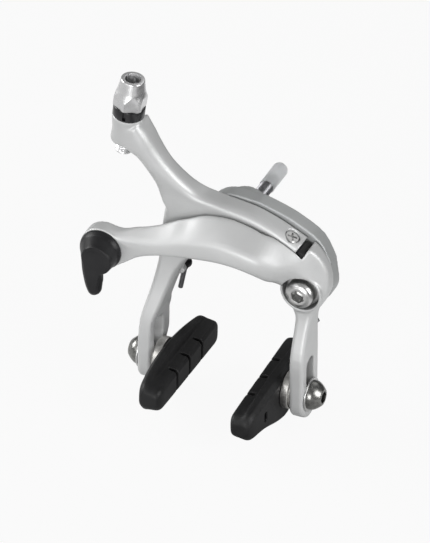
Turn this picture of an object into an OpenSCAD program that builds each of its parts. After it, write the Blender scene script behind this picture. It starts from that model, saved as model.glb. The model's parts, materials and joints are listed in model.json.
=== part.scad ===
// Dual-pivot caliper brake for a road bicycle, with its arms fully open.
// The origin is on the centre bolt's axis, at the rear face of the hub that
// seats against the fork or frame. +Z is up, +Y points into the fork or frame,
// and +X is to the right for someone who looks at the front of the brake.
// The Y arm turns on the centre bolt and carries the left shoe and the
// adjuster barrel. The C arm turns on the side bolt and carries the right shoe
// and the cable clamp. A screw in the tail of the Y arm rests on a ledge of
// the C arm, so that both arms move together.

/* [Mounting] */
// Diameter of the bolts through both pivots and both shoes
bolt_d = 6; // [5:0.5:6.5]
// Diameter of the bolt where it holds the brake to the fork
fork_d = 5; // [4:0.5:6]
// Length of the bolt behind the hub's rear face
bolt_reach = 19.5; // [16:0.5:40]
// Radius of the bracket's hub
hub_r = 8.6; // [7.5:0.1:9.5]
// Length of the hub behind the bracket's plate
hub_l = 6.5; // [4:0.5:10]
// Thickness of the bracket's plate
plate_t = 5.7; // [5:0.1:7]
// Length of the soft cap on the end of the bolt
cap_l = 13; // [9:0.5:18]
// Length of the bolt inside the cap
cap_grip = 6; // [4:0.5:8]
// Wall of the cap
cap_wall = 0.4; // [0.4:0.1:1]

/* [Pivots] */
// Distance of the side pivot to the right of the centre bolt
side_x = 28; // [27:0.25:29]
// Distance of the side pivot below the centre bolt
side_drop = 15; // [14.5:0.25:16]
// Radius of both pivots' bearing shoulders
shoulder_r = 3.5; // [3.3:0.05:3.7]
// Wall of the bushes in both arms
bush_wall = 1; // [0.7:0.1:1.2]
// Thickness of the thrust washers between the bracket and the arms
thrust_t = 0.5; // [0.3:0.1:1]
// Radius of the counterbore round the side bolt's head
counter_r = 6.7; // [6.2:0.1:7]
// Depth of the counterbore
counter_depth = 3.4; // [2:0.1:4]
// Height of the side bolt's head
side_head_h = 4.8; // [3.5:0.1:6]

/* [Arms] */
// Thickness of the Y arm round the centre bolt
arm_t = 7.8; // [7:0.1:8.4]
// Gap between the Y arm and the C arm in front of it
arm_gap = 1; // [0.6:0.1:1.4]
// Depth of the C arm where it crosses the centre bolt
cross_t = 10; // [9.5:0.1:11]
// Gap between the inner faces of the legs
leg_gap = 52.4; // [50:0.2:54]
// Thickness of each leg
leg_t = 5.4; // [5:0.1:6.5]
// Depth of each leg, front to back
leg_depth = 13.5; // [12.5:0.1:14]
// Drop from the centre bolt to the shoe bolts at the bottom of the slots
reach = 57.5; // [54:0.5:60]
// Travel of a shoe bolt along its slot
slot_travel = 12.5; // [8:0.5:14]

/* [Cable] */
// Distance of the quick release's axis to the left of the centre bolt
release_x = 42.4; // [41:0.2:43.5]
// Distance of the quick release's axis below the centre bolt
release_drop = 10; // [9:0.25:11]
// Radius of the round end of the C arm
release_r = 8; // [7.5:0.1:8.6]
// Radius of the cam that turns in the end of the C arm
cam_r = 5.5; // [5:0.1:5.8]
// Length of the quick-release lever's finger below its axle
lever_l = 15.7; // [13:0.1:17]
// Offset of the clamp stud from the cam's axis
cam_throw = 1.6; // [1:0.1:2]
// Radius of the cable clamp's stud
stud_r = 2.5; // [2.2:0.1:3]
// Distance of the adjuster's seat to the left of the centre bolt
seat_x = 36.1; // [35:0.2:37.5]
// Height of the adjuster's seat above the centre bolt
seat_z = 42.4; // [41:0.2:46]
// Lean of the adjuster towards the middle, in degrees
barrel_lean = 6.7; // [4:0.1:9]
// Bore for the end of the cable's housing
housing_d = 5.6; // [5:0.1:6]
// Bore for the inner cable
cable_d = 2.2; // [1.8:0.1:3]
// Radius of the adjuster's threaded stem
stem_r = 3; // [2.8:0.05:3.4]
// Length of the stem below the seat
stem_l = 15.5; // [13:0.5:18]
// Radius of the adjuster's skirt across its corners
skirt_r = 6.2; // [6:0.1:7]

/* [Shoes] */
// Length of a brake shoe
shoe_l = 52; // [44:0.5:56]
// Gap between the two shoes' rubbing faces
shoe_gap = 26; // [24:0.2:28]
// Height of the shoe's back at its ends
back_h = 10.4; // [9:0.2:12]
// Height of the rubbing block
block_h = 9; // [7:0.2:10]
// Thickness of the rubbing block
block_t = 5.5; // [4:0.1:6]
// Thickness of the shoe's back
back_t = 4.4; // [4:0.1:5]
// Number of rubbing blocks on each shoe
block_count = 4; // [2:1:5]
// Width of the grooves between the blocks
groove_w = 1.5; // [1:0.1:2.5]
// Depth of the grooves between the blocks
groove_depth = 3.6; // [1:0.1:4.5]
// Turn of the left shoe about its bolt, in degrees
left_tilt = -1.5; // [-5:0.5:5]
// Turn of the right shoe about its bolt, in degrees
right_tilt = 3; // [-5:0.5:5]
// Radius of the shoe bolt's head
shoe_head_r = 5.3; // [5:0.1:5.6]

/* [Centring] */
// Radius of the centring screw's head
centring_head_r = 2.6; // [2.2:0.05:2.8]
// Radius of the centring screw's thread
centring_r = 1.6; // [1.4:0.05:1.8]
// Distance along the tail from the centre bolt to the centring screw
centring_out = 18.4; // [17.5:0.1:19]

/* [Spring] */
// Diameter of the return spring's wire
wire_d = 1.8; // [1.6:0.1:2]

/* [Hidden] */
$fn = 48;

// Clearances
run_gap = 0.05;
fit_gap = 0.02;
slot_gap = 0.1;
// How far a cut runs past the face that it opens
past = 1;

// Layers, from the rear to the front
plate_rear = -hub_l;
plate_front = plate_rear - plate_t;
arm_rear = plate_front - thrust_t;
arm_front = arm_rear - arm_t;
cross_rear = arm_front - arm_gap;
cross_front = cross_rear - cross_t;
leg_y = arm_rear - leg_depth / 2;
leg_front = arm_rear - leg_depth;
boss_front = arm_front - 0.5;
end_rear = cross_front + 5.5;
spring_y = plate_front + plate_t / 2 - 0.6;

// Places seen from the front
side_z = -side_drop;
end_x = -release_x;
end_z = -release_drop;
leg_in = leg_gap / 2;
leg_out = leg_in + leg_t;
leg_z = -reach;
bolt_r = bolt_d / 2;
fork_r = fork_d / 2;
bush_r = shoulder_r + run_gap + bush_wall;
hub_arm_r = 9.5;
boss_r = counter_r + 1;

// The tail's own directions: x runs out along the tail and z is square to it
tail_tilt = 27;
tail_end = 22.6;
tail_top = 15.2;
ledge_h = 2;
buffer_t = 2.7;
corner_r = 3;
tip_gap = 0.3;
centring_y = (arm_front + arm_rear) / 2;

// Adjuster
ring_r = 5.6;
barrel_y = arm_front - 2;
seat_r = ring_r + 0.1;
seat_foot_r = 4.5;
seat_l = 10.5;
ring_h = 4.2;
skirt_h = 4.3;
skirt_slope = 0.39;
skirt_turn = -19;
tube_h = 6.6;
tube_r = 4;
housing_l = 8;

// Release and clamp
lever_gap = 0.1;
cam_flange_t = 1;
key_flat = 6;
clamp_t = 1.2;
stud_angle = -135;
stud_x = end_x + cam_throw * cos(stud_angle);
stud_z = end_z + cam_throw * sin(stud_angle);
clamp_y = end_rear + lever_gap + cam_flange_t;

// Nut on the centre bolt, low enough for the hollow behind the C arm
nut_flat = 9;
nut_h = 3;
washer_t = 0.5;
nut_front = arm_front - washer_t - nut_h;
hollow_front = nut_front - 0.8;
hollow_r = nut_flat / 2 / cos(30) + 0.5;

// Shoes
shoe_y = leg_y - 2.5;
cup_t = 1.2;
dome_t = leg_in - shoe_gap / 2 - block_t - back_t - cup_t;
dome_round = 15;
dome_r = 6.2;
cup_r = 6.9;
outer_washer_t = 0.6;
shoe_head_h = 4.4;

// Spring: its route seen from the front, from the right end to the left end
slider_z = side_z - 14;
spring_low = -14.4;
spring_route = [
    [29.9, slider_z - 4.4], [27.2, slider_z], [22.8, slider_z + 3.9], [15, slider_z + 9.2],
    [7.5, spring_low - 0.5], [5, spring_low], [-5, spring_low], [-7.5, spring_low - 0.3],
    [-14, -15.8], [-17.6, -18.8], [-19.8, -22.7], [-22.1, -33.8]
];
right_end = 1;
left_end = len(spring_route) - 2;
left_slider = spring_route[left_end];
right_slider = spring_route[right_end];
slider_r = 2;
peg_r = 1;
peg_l = 1.8;

// Smooth curve through points of any dimension, with n steps between each two
function curve_point(a, b, c, d, t) =
    (2 * b + (c - a) * t + (2 * a - 5 * b + 4 * c - d) * t * t
    + (3 * b - a - 3 * c + d) * t * t * t) / 2;
function curve(p, n) = [
    for (i = [0:len(p) - 2], j = [0:n - 1])
        curve_point(p[max(0, i - 1)], p[i], p[i + 1], p[min(len(p) - 1, i + 2)], j / n),
    p[len(p) - 1]
];

// Points on an arc about c, seen from the front
function arc(c, r, from, to, n) = [
    for (i = [0:n]) let (a = from + (to - from) * i / n) c + r * [cos(a), sin(a)]
];

// An outline with each corner rounded off over the length given for it
function soften(p, r, n = 2) = [
    for (i = [0:len(p) - 1])
        let (
            a = p[(i + len(p) - 1) % len(p)] - p[i],
            b = p[(i + 1) % len(p)] - p[i],
            cut = min(r[i % len(r)], 0.45 * norm(a), 0.45 * norm(b)),
            q = p[i] + a / norm(a) * cut,
            s = p[i] + b / norm(b) * cut
        )
        for (j = [0:n])
            let (t = j / n) (1 - t) * (1 - t) * q + 2 * t * (1 - t) * p[i] + t * t * s
];

// Solid through a row of rings that have as many points each
module loft(rings) {
    n = len(rings[0]);
    m = len(rings);
    sides = [
        for (i = [0:m - 2], j = [0:n - 1])
            let (a = i * n + j, b = i * n + (j + 1) % n)
                each [[a, b + n, b], [a, a + n, b + n]]
    ];
    ends = [[for (j = [0:n - 1]) j], [for (j = [n - 1:-1:0]) (m - 1) * n + j]];
    polyhedron([for (r = rings) each r], concat(sides, ends), convexity = 8);
}

// One section of a forged arm. s holds the outer edge's x and z, the inner
// edge's x and z, the front, the rear, where the outer and the inner face end
// towards the front, and how far across the front face starts and ends.
edge_soft = [0.7, 1, 2.2, 1.6, 1, 0.7];
function arm_ring(s) =
    let (
        outer = [s[0], s[1]],
        inner = [s[2], s[3]],
        wide = norm(inner - outer),
        across = (inner - outer) / wide,
        outline = [
            [0, s[5]], [0, s[6]], [s[8] * wide, s[4]],
            [s[9] * wide, s[4]], [wide, s[7]], [wide, s[5]]
        ]
    )
    [
        for (p = soften(outline, edge_soft))
            let (q = outer + across * p[0]) [q[0], p[1], q[1]]
    ];

// Sections of a leg's round lower end; near and far are its faces' x
end_wall = 2.3;
function leg_end(near, far) = [
    for (a = [0:15:75])
        let (half = leg_depth / 2 * cos(a), z = leg_z - end_wall - leg_depth / 2 * sin(a))
            [near, z, far, z, leg_y - half, leg_y + half, leg_y - half + 0.8,
             leg_y - half + 0.8, 0.14, 0.86]
];
leg_upper = leg_z + slot_travel + 5;

// Cylinder along Y between two depths
module along_y(r, from, to, x = 0, z = 0, r2 = -1) {
    translate([x, from, z]) rotate([-90, 0, 0])
        cylinder(h = to - from, r1 = r, r2 = r2 < 0 ? r : r2);
}

// Six-sided bar along Y between two depths, sized across its flats
module hex_y(flat, from, to, x = 0, z = 0) {
    translate([x, from, z]) rotate([-90, 0, 0])
        cylinder(h = to - from, r = flat / 2 / cos(30), $fn = 6);
}

// Ring along Y between two depths
module ring_y(r, bore, from, to, x = 0, z = 0) {
    difference() {
        along_y(r, from, to, x, z);
        along_y(bore, from - past, to + past, x, z);
    }
}

// Puts its children in the adjuster's frame: seat at 0, cable upwards
module on_barrel() {
    translate([-seat_x, barrel_y, seat_z]) rotate([0, barrel_lean, 0]) children();
}

// Puts its children in the tail's frame
module on_tail() {
    rotate([0, tail_tilt, 0]) children();
}

// Bar with round ends, as long as a shoe bolt's travel, from x to x + h
module slot_bar(r, x, h) {
    for (z = [leg_z, leg_z + slot_travel])
        translate([x, leg_y, z]) rotate([0, 90, 0]) cylinder(h = h, r = r);
    translate([x, leg_y - r, leg_z]) cube([h, 2 * r, slot_travel]);
}

// Slot for a shoe bolt through the leg on one side, and the flat faces that
// are machined beside it for the washers
face_r = 7.1;
face_cut = 4;
module leg_slot(side) {
    mirror([side < 0 ? 1 : 0, 0, 0]) {
        slot_bar(bolt_r + slot_gap, leg_in - past, leg_t + 2 * past);
        slot_bar(face_r, leg_out, face_cut);
        slot_bar(face_r, leg_in - face_cut, face_cut);
    }
}

// Flat face behind an arm, where it turns against its thrust washer
module rear_face() {
    translate([-60, arm_rear, -70]) cube([120, 3, 130]);
}

// Bracket
plate_hub_r = 12.4;
plate_side_r = 8.6;
plate_outline = concat(
    arc([0, 0], plate_hub_r, 88, 262, 16),
    curve([[6, -12.6], [13, -15.4], [side_x - 9, side_z - 3]], 3),
    arc([side_x, side_z], plate_side_r, 215, 370, 12),
    curve([[side_x + 7.4, side_z + 9], [side_x + 3, side_z + 17.2],
        [side_x - 5.5, side_z + 22.4], [16, 9.9], [8.5, 12]], 3)
);
module plate(grow = 0) {
    translate([0, plate_rear + grow, 0]) rotate([90, 0, 0])
        linear_extrude(plate_t + 2 * grow, convexity = 4) offset(delta = grow) polygon(plate_outline);
}
module bracket() {
    color("silver") difference() {
        union() {
            plate();
            along_y(hub_r + 0.6, plate_rear - 0.1, plate_rear + 1, 0, 0, hub_r);
            along_y(hub_r, plate_rear, 0);
        }
        along_y(spline_r + fit_gap, plate_front - past, past);
        along_y(bolt_r + fit_gap, plate_front - past, plate_rear + past, side_x, side_z);
        bracket_pocket();
    }
}

// Lightening pocket in the rear of the bracket, with a rib left round it
pocket_depth = 2.4;
module bracket_pocket() {
    translate([0, plate_rear + past, 0]) rotate([90, 0, 0])
        linear_extrude(pocket_depth + past) polygon(soften([
            [10.5, -7.5], [side_x - 8.4, side_z + 3.2], [side_x - 5.8, side_z + 8.4],
            [side_x + 0.5, side_z + 10.5], [side_x - 6, side_z + 18.5], [11.5, 7]
        ], [3], 4));
}

// Centre bolt: thread for the nut, bearing shoulder, splined part pressed into
// the bracket, and the thread for the fork with its thinner lead-in
spline_r = bolt_r + 0.3;
lead_r = fork_r - 0.25;
module centre_bolt() {
    lead = bolt_reach - cap_grip;
    color("dimgray") {
        along_y(bolt_r, nut_front - 0.6, arm_front);
        along_y(shoulder_r, arm_front, plate_front - fit_gap);
        along_y(spline_r, plate_front - fit_gap, 0);
        along_y(fork_r, 0, lead);
        along_y(lead_r, lead, bolt_reach - 0.8);
        along_y(lead_r, bolt_reach - 0.8, bolt_reach, 0, 0, lead_r - 0.7);
    }
}

module centre_nut() {
    color("silver") difference() {
        hex_y(nut_flat, nut_front, arm_front - washer_t);
        along_y(bolt_r + fit_gap, nut_front - past, arm_front + past);
    }
}

module front_washer() {
    color("gray") ring_y(nut_flat / 2 + 0.9, bolt_r + fit_gap, arm_front - washer_t, arm_front);
}

module thrust_washer(x, z) {
    color("dimgray") ring_y(hub_arm_r - 1.5, shoulder_r + run_gap, arm_rear, plate_front, x, z);
}

// Side bolt: chamfered head, shoulder and threaded end
counter_floor = boss_front + counter_depth;
side_head_y = counter_floor - run_gap - 1;
module side_bolt() {
    head_front = side_head_y - side_head_h;
    color("silver") difference() {
        union() {
            along_y(3.5, head_front, head_front + 1.1, side_x, side_z, 4.5);
            along_y(4.5, head_front + 1.1, side_head_y, side_x, side_z);
            along_y(bolt_r, side_head_y, plate_rear, side_x, side_z);
            along_y(shoulder_r, counter_floor - run_gap, plate_front - fit_gap, side_x, side_z);
        }
        hex_y(4, head_front - past, head_front + 2.6, side_x, side_z);
    }
}

module side_washer() {
    color("silver") ring_y(counter_r - 0.5, bolt_r + fit_gap, side_head_y,
        counter_floor - run_gap, side_x, side_z);
}

// Y arm: from the adjuster's seat over the centre bolt to the tail
y_upper = [
    [5.1 - seat_x, seat_z - 1.4, -seat_x - 2.2, seat_z - 7.4,
     barrel_y - 5.2, barrel_y + 5.2, barrel_y - 3, barrel_y - 3, 0.15, 0.85],
    [-27.8, 36, -35.6, 30.6, barrel_y - 4.8, barrel_y + 5.4, barrel_y - 2.5, barrel_y - 3, 0.2, 0.85],
    [-25.2, 30.8, -31.6, 27.6, barrel_y - 3.8, barrel_y + 5.6, barrel_y - 1.2, barrel_y - 2, 0.26, 0.88],
    [-21.4, 24.6, -28.4, 22.6, barrel_y - 2.5, barrel_y + 6.2, barrel_y, barrel_y - 1, 0.28, 0.9],
    [-16.4, 18.4, -25.6, 16.6,
     arm_front - 2.7, arm_rear - 1.8, arm_front - 0.3, arm_front - 1.5, 0.2, 0.93],
    [-11.2, 14.2, -23.8, 10, arm_front - 1, arm_rear - 0.4, arm_front + 1.4, arm_front, 0.13, 0.95],
    [-5, 12.7, -20, -2, arm_front, arm_rear, arm_front + 2.2, arm_front + 1, 0.06, 0.96],
    [1.3, 11.9, -4, -9.5, arm_front, arm_rear, arm_front + 2.2, arm_front + 1, 0.05, 0.96],
    [8.9, 10.8, 4.5, -7, arm_front, arm_rear, arm_front + 2.2, arm_front + 1, 0.07, 0.95],
    [16.4, 8.4, 11.5, -1.4, arm_front, arm_rear, arm_front + 2.2, arm_front + 1, 0.12, 0.94],
    [22.2, 5.8, 18.4, -2.6, arm_front, arm_rear, arm_front + 2.2, arm_front + 1, 0.16, 0.92],
    [27.1, 3.4, 23.3, -3.9, arm_front, arm_rear, arm_front + 2.2, arm_front + 1, 0.2, 0.9]
];
// Y arm: the left leg, from the hub down
y_leg = [
    [-6, -6, -22.9, 9.5, arm_front, arm_rear, arm_front + 1, arm_front + 1, 0.05, 0.95],
    [-9.8, -9.7, -24.4, 1, arm_front, arm_rear, arm_front + 1, arm_front + 1, 0.06, 0.94],
    [-15.2, -14.4, -25.4, -8, arm_front - 0.2, arm_rear, arm_front + 1, arm_front + 1, 0.08, 0.92],
    [-18.8, -20.6, -26, -16, arm_front - 0.8, arm_rear, arm_front + 1, arm_front + 1, 0.12, 0.88],
    [-21.4, -27.2, -27.2, -24.4, arm_front - 2.2, arm_rear, arm_front - 1.2, arm_front - 1.2, 0.14, 0.86],
    [-leg_in + 2.5, leg_upper + 5.6, -leg_out + 2.6, leg_upper + 7.4, leg_front + 1.6, arm_rear,
        leg_front + 2.4, leg_front + 2.4, 0.14, 0.86],
    [-leg_in + 0.5, leg_upper - 1, -leg_out + 0.9, leg_upper, leg_front + 0.2, arm_rear,
        leg_front + 1, leg_front + 1, 0.14, 0.86],
    [-leg_in, leg_z + 6, -leg_out, leg_z + 6.4, leg_front, arm_rear,
        leg_front + 0.8, leg_front + 0.8, 0.14, 0.86]
];
lug_r = 1.5;
module y_arm() {
    color("silver") difference() {
        union() {
            loft([for (s = curve(y_upper, 4)) arm_ring(s)]);
            loft([for (s = concat(curve(y_leg, 4), leg_end(-leg_in, -leg_out))) arm_ring(s)]);
            along_y(hub_arm_r, arm_front, arm_rear);
            on_barrel() translate([0, 0, -seat_l])
                cylinder(h = seat_l, r1 = seat_foot_r, r2 = seat_r);
            on_barrel() translate([0, 0, -seat_l - 1])
                cylinder(h = 1, r1 = seat_foot_r - 0.9, r2 = seat_foot_r);
            hull() for (x = [left_slider[0], left_slider[0] - 2.4])
                along_y(lug_r, arm_rear - peg_l - 0.8, arm_rear, x, left_slider[1]);
        }
        along_y(bush_r + fit_gap, arm_front - 3, arm_rear + past);
        along_y(peg_r + fit_gap, arm_rear - peg_l - 0.2, arm_rear + past,
            left_slider[0], left_slider[1]);
        on_barrel() translate([0, 0, -seat_l - 4])
            cylinder(h = seat_l + 4 + past, r = stem_r + run_gap);
        on_tail() translate([centring_out, centring_y, 0]) {
            cylinder(h = tail_top + 9, r = centring_r + run_gap);
            translate([0, 0, tail_top - 2.4]) cylinder(h = 9, r = centring_head_r + 0.2);
        }
        rear_face();
        leg_slot(-1);
    }
}

module arm_bush(from, to, x, z) {
    color("peru") ring_y(bush_r, shoulder_r + run_gap, from, to, x, z);
}

// Slider that carries the spring's wire on the back of an arm, at one of the
// points of the wire's route
module slider(i) {
    place = spring_route[i];
    way = spring_route[i + 1] - spring_route[i - 1];
    color("#202020") difference() {
        union() {
            along_y(peg_r, arm_rear - peg_l, spring_y, place[0], place[1]);
            along_y(slider_r - 0.3, arm_rear + fit_gap, spring_y, place[0], place[1]);
            translate([place[0], spring_y, place[1]]) rotate([90, 0, 0]) sphere(r = slider_r);
        }
        translate([place[0], spring_y, place[1]]) rotate([0, atan2(way[0], way[1]), 0])
            cylinder(h = 12, r = wire_d / 2 + 0.2, center = true);
    }
}

// C arm: from the quick release over the middle, round the side bolt, down
c_sections = [
    [end_x + 1, end_z + release_r - 0.2, end_x + 1, end_z - release_r + 0.2, cross_front, end_rear,
        cross_front + 1, cross_front + 1, 0.08, 0.92],
    [end_x + 6.2, end_z + 7.6, end_x + 6.6, end_z - 5.4, cross_front, end_rear,
        cross_front + 2, cross_front + 1, 0.13, 0.93],
    [end_x + 12.4, end_z + 8.8, end_x + 12.1, end_z, cross_front, end_rear + 0.7,
        end_rear - 0.8, cross_front + 1, 0.34, 0.93],
    [end_x + 20, end_z + 11.2, end_x + 20.2, end_z + 3.3, cross_front, end_rear + 2.2,
        end_rear + 1, cross_front + 1, 0.46, 0.93],
    [-14.9, 4.8, -15.5, -5.2, cross_front, cross_rear - 0.8,
        cross_rear - 1.8, cross_front + 1, 0.54, 0.94],
    [-7.5, 8.2, -8, -4.1, cross_front, cross_rear, cross_rear - 1, cross_front + 1, 0.56, 0.94],
    [1.4, 9.4, 0.6, -3.2, cross_front, cross_rear, cross_rear - 1, cross_front + 1, 0.54, 0.94],
    [9.1, 8.2, 7.4, -3.4, cross_front, cross_rear, cross_rear - 1, cross_front + 1, 0.52, 0.94],
    [16.8, 6, 13.4, -5.2, cross_front + 0.8, cross_rear + 0.5,
        cross_rear - 1, cross_front + 2, 0.52, 0.92],
    [side_x - 4, side_z + 18.6, side_x - 10, side_z + 6.2, cross_front + 3.4, arm_rear,
        cross_rear + 1, cross_front + 5, 0.58, 0.9],
    [side_x + 2.7, side_z + 17.1, side_x - 7, side_z + 1.2, boss_front - 2.6, arm_rear,
        boss_front + 2, boss_front, 0.45, 0.9],
    [side_x + 7.6, side_z + 10.5, side_x - 4.8, side_z - 4, boss_front - 0.4, arm_rear,
        boss_front + 4, boss_front + 1.4, 0.3, 0.92],
    [side_x + 9.1, side_z + 3, side_x - 3.9, side_z - 6.6, boss_front, arm_rear,
        boss_front + 4, boss_front + 1.4, 0.22, 0.92],
    [side_x + 7.6, side_z - 3.4, side_x - 3.2, side_z - 8.8, boss_front + 0.4, arm_rear,
        boss_front + 3, boss_front + 1.4, 0.2, 0.9],
    [leg_out + 0.9, side_z - 9, leg_in - 0.5, side_z - 11.4, boss_front + 0.2, arm_rear - 0.6,
        boss_front + 1.6, boss_front + 1.2, 0.16, 0.86],
    [leg_out, side_z - 15, leg_in - 0.1, side_z - 15.6, leg_front + 3.4, arm_rear - 0.2,
        leg_front + 4.4, leg_front + 4.4, 0.14, 0.86],
    [leg_out, leg_upper, leg_in, leg_upper, leg_front, arm_rear,
        leg_front + 0.8, leg_front + 0.8, 0.14, 0.86],
    [leg_out, leg_z + 6, leg_in, leg_z + 6, leg_front, arm_rear,
        leg_front + 0.8, leg_front + 0.8, 0.14, 0.86]
];
module c_arm() {
    color("silver") difference() {
        union() {
            loft([for (s = concat(curve(c_sections, 4), leg_end(leg_out, leg_in))) arm_ring(s)]);
            along_y(boss_r, boss_front, arm_rear, side_x, side_z);
            along_y(release_r, cross_front, end_rear, end_x, end_z);
        }
        along_y(bush_r + fit_gap, boss_front - past, arm_rear + past, side_x, side_z);
        along_y(counter_r, boss_front - 9, counter_floor, side_x, side_z);
        along_y(cam_r + run_gap, cross_front - past, end_rear + past, end_x, end_z);
        along_y(peg_r + fit_gap, arm_rear - peg_l - 0.2, arm_rear + past,
            right_slider[0], right_slider[1]);
        nut_hollow();
        tail_pocket();
        rear_face();
        leg_slot(1);
    }
}

// Hollow behind the C arm for the nut, open downwards for the arm's travel
module nut_hollow() {
    depth = cross_rear - hollow_front + past;
    translate([0, hollow_front, 0]) rotate([-90, 0, 0]) cylinder(h = depth, r = hollow_r);
    translate([-hollow_r - 3, hollow_front, -14]) cube([2 * hollow_r + 3, depth, 14]);
}

// Pocket in the C arm that clears the tail, with a rounded lower corner; its
// floor is the screw's ledge
stop_x = tail_end + buffer_t + 0.3;
module pocket_body(depth) {
    translate([0, arm_rear, 0]) rotate([90, 0, 0]) linear_extrude(depth)
        polygon(concat(
            [[-stop_x, 2 * stop_x], [-stop_x, ledge_h]],
            arc([stop_x - corner_r, ledge_h + corner_r], corner_r, -90, 0, 6),
            [[stop_x, 2 * stop_x]]
        ));
}
module tail_pocket() {
    on_tail() translate([0, past, 0]) pocket_body(arm_t + 0.5 + past);
}

// Soft stop between the tail's end and the C arm's shoulder
module tail_buffer() {
    color("#202020") on_tail() intersection() {
        pocket_body(arm_t);
        translate([tail_end + 0.3, arm_front, ledge_h])
            cube([buffer_t, arm_t - 0.3, tail_top - 4.6 - ledge_h]);
    }
}

// Centring screw: its rounded tip rests on the C arm's ledge
module centring_screw() {
    head_top = tail_top - 0.7;
    tip_z = ledge_h + tip_gap + centring_r;
    color("silver") on_tail() translate([centring_out, centring_y, 0]) difference() {
        union() {
            translate([0, 0, tip_z]) cylinder(h = head_top - tip_z, r = centring_r);
            translate([0, 0, tip_z]) sphere(r = centring_r);
            translate([0, 0, head_top - 1.7]) cylinder(h = 1.7, r = centring_head_r);
        }
        translate([0, 0, head_top - 1.2]) cylinder(h = 2, r = 1.15, $fn = 6);
    }
}

// Black ring under the adjuster, with the notch that indexes it
module adjuster_ring() {
    color("#202020") on_barrel() difference() {
        cylinder(h = ring_h, r = ring_r);
        translate([0, 0, -past]) cylinder(h = ring_h + 2 * past, r = stem_r + run_gap);
        rotate([0, 0, -105]) translate([ring_r - 0.5, -0.3, -past])
            cube([2, 0.6, ring_h + 2 * past]);
    }
}

// Adjuster: threaded stem, six-sided skirt with arched tops, tapered tube
rim_t = 0.6;
module adjuster_barrel() {
    top = ring_h + skirt_h + tube_h;
    color("gainsboro") on_barrel() difference() {
        union() {
            translate([0, 0, -stem_l]) cylinder(h = stem_l + ring_h, r = stem_r);
            intersection() {
                translate([0, 0, ring_h]) rotate([0, 0, skirt_turn])
                    cylinder(h = 2 * skirt_h, r = skirt_r, $fn = 6);
                translate([0, 0, ring_h]) cylinder(h = 2 * skirt_h,
                    r1 = skirt_r + skirt_h * skirt_slope, r2 = skirt_r - skirt_h * skirt_slope);
            }
            translate([0, 0, ring_h])
                cylinder(h = top - ring_h - rim_t, r1 = tube_r + 0.9, r2 = tube_r);
            translate([0, 0, top - rim_t]) cylinder(h = rim_t, r1 = tube_r, r2 = tube_r - rim_t);
        }
        translate([0, 0, top - housing_l]) cylinder(h = housing_l + past, d = housing_d);
        translate([0, 0, -stem_l - past]) cylinder(h = top + stem_l, d = cable_d);
    }
}

// Quick-release lever: a round cap over the cam with a finger below it
lever_rear = cross_front - lever_gap;
lever_cap_t = 2.2;
lever_t = 7.6;
lever_hub_r = 5.3;
key_l = lever_cap_t - 0.3;
// Points down the finger, as shares of the cap's radius and the finger's length
finger_shape = [
    [-0.94, -0.06], [-0.89, -0.32], [-0.77, -0.57], [-0.62, -0.78], [-0.38, -0.95], [-0.06, -1],
    [0.3, -0.96], [0.5, -0.84], [0.56, -0.68], [0.68, -0.46], [0.84, -0.28], [0.98, -0.16]
];
finger_outline = concat(
    arc([end_x + 0.13 * lever_hub_r, end_z], lever_hub_r, 10, 170, 11),
    curve([for (p = finger_shape) [end_x + p[0] * lever_hub_r, end_z + p[1] * lever_l]], 2)
);
// An outline with every point moved d to its left
function inset(p, d) = [
    for (i = [0:len(p) - 1])
        let (
            run = p[(i + 1) % len(p)] - p[(i + len(p) - 1) % len(p)],
            side = [-run[1], run[0]] / norm(run)
        ) p[i] + side * d
];
module release_lever() {
    front = lever_rear - lever_t;
    layers = [[lever_rear - lever_cap_t + 0.2, 0], [front + 1.8, 0.15], [front + 0.7, 0.6], [front, 1.7]];
    color("#202020") difference() {
        union() {
            along_y(release_r - 0.9, lever_rear - lever_cap_t, lever_rear - 0.9,
                end_x, end_z, release_r - 0.3);
            along_y(release_r - 0.3, lever_rear - 0.9, lever_rear, end_x, end_z);
            along_y(lever_hub_r - 1.3, lever_rear - lever_cap_t - 2.4, lever_rear - lever_cap_t,
                end_x, end_z, release_r - 1.2);
            loft([for (k = layers) [for (p = inset(finger_outline, k[1])) [p[0], k[0], p[1]]]]);
        }
        hex_y(key_flat + 2 * fit_gap, lever_rear - key_l - 0.1, lever_rear + past, end_x, end_z);
    }
}

// Cam in the end of the C arm, keyed to the lever, with the off-centre hole
module release_cam() {
    color("dimgray") difference() {
        union() {
            hex_y(key_flat, lever_rear - key_l, cross_front, end_x, end_z);
            along_y(cam_r, cross_front, end_rear + lever_gap, end_x, end_z);
            along_y(cam_r + 1.4, end_rear + lever_gap, clamp_y, end_x, end_z);
        }
        along_y(stud_r + run_gap, cross_front + 1, clamp_y + past, stud_x, stud_z);
    }
}

// Cable clamp on the cam's stud
clamp_r = 4.6;
clamp_nut_h = 3;
clamp_nut_flat = 7;
groove_y = clamp_y + clamp_t;
nut_rear = groove_y + clamp_t + clamp_nut_h;
module cable_groove() {
    translate([stud_x - stud_r - cable_d / 2 - 0.2, groove_y, stud_z])
        cylinder(h = 3 * clamp_r, d = cable_d - 0.4, center = true);
}
module clamp_stud() {
    color("dimgray") along_y(stud_r, cross_front + 1.1, nut_rear + 0.8, stud_x, stud_z);
}
module clamp_plate() {
    color("silver") difference() {
        ring_y(clamp_r, stud_r + fit_gap, clamp_y, groove_y, stud_x, stud_z);
        cable_groove();
    }
}
module clamp_washer() {
    color("silver") difference() {
        ring_y(clamp_r, stud_r + fit_gap, groove_y, groove_y + clamp_t, stud_x, stud_z);
        cable_groove();
    }
}
module clamp_nut() {
    color("dimgray") difference() {
        hex_y(clamp_nut_flat, groove_y + clamp_t, nut_rear, stud_x, stud_z);
        along_y(stud_r + fit_gap, groove_y, nut_rear + past, stud_x, stud_z);
    }
}

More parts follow.
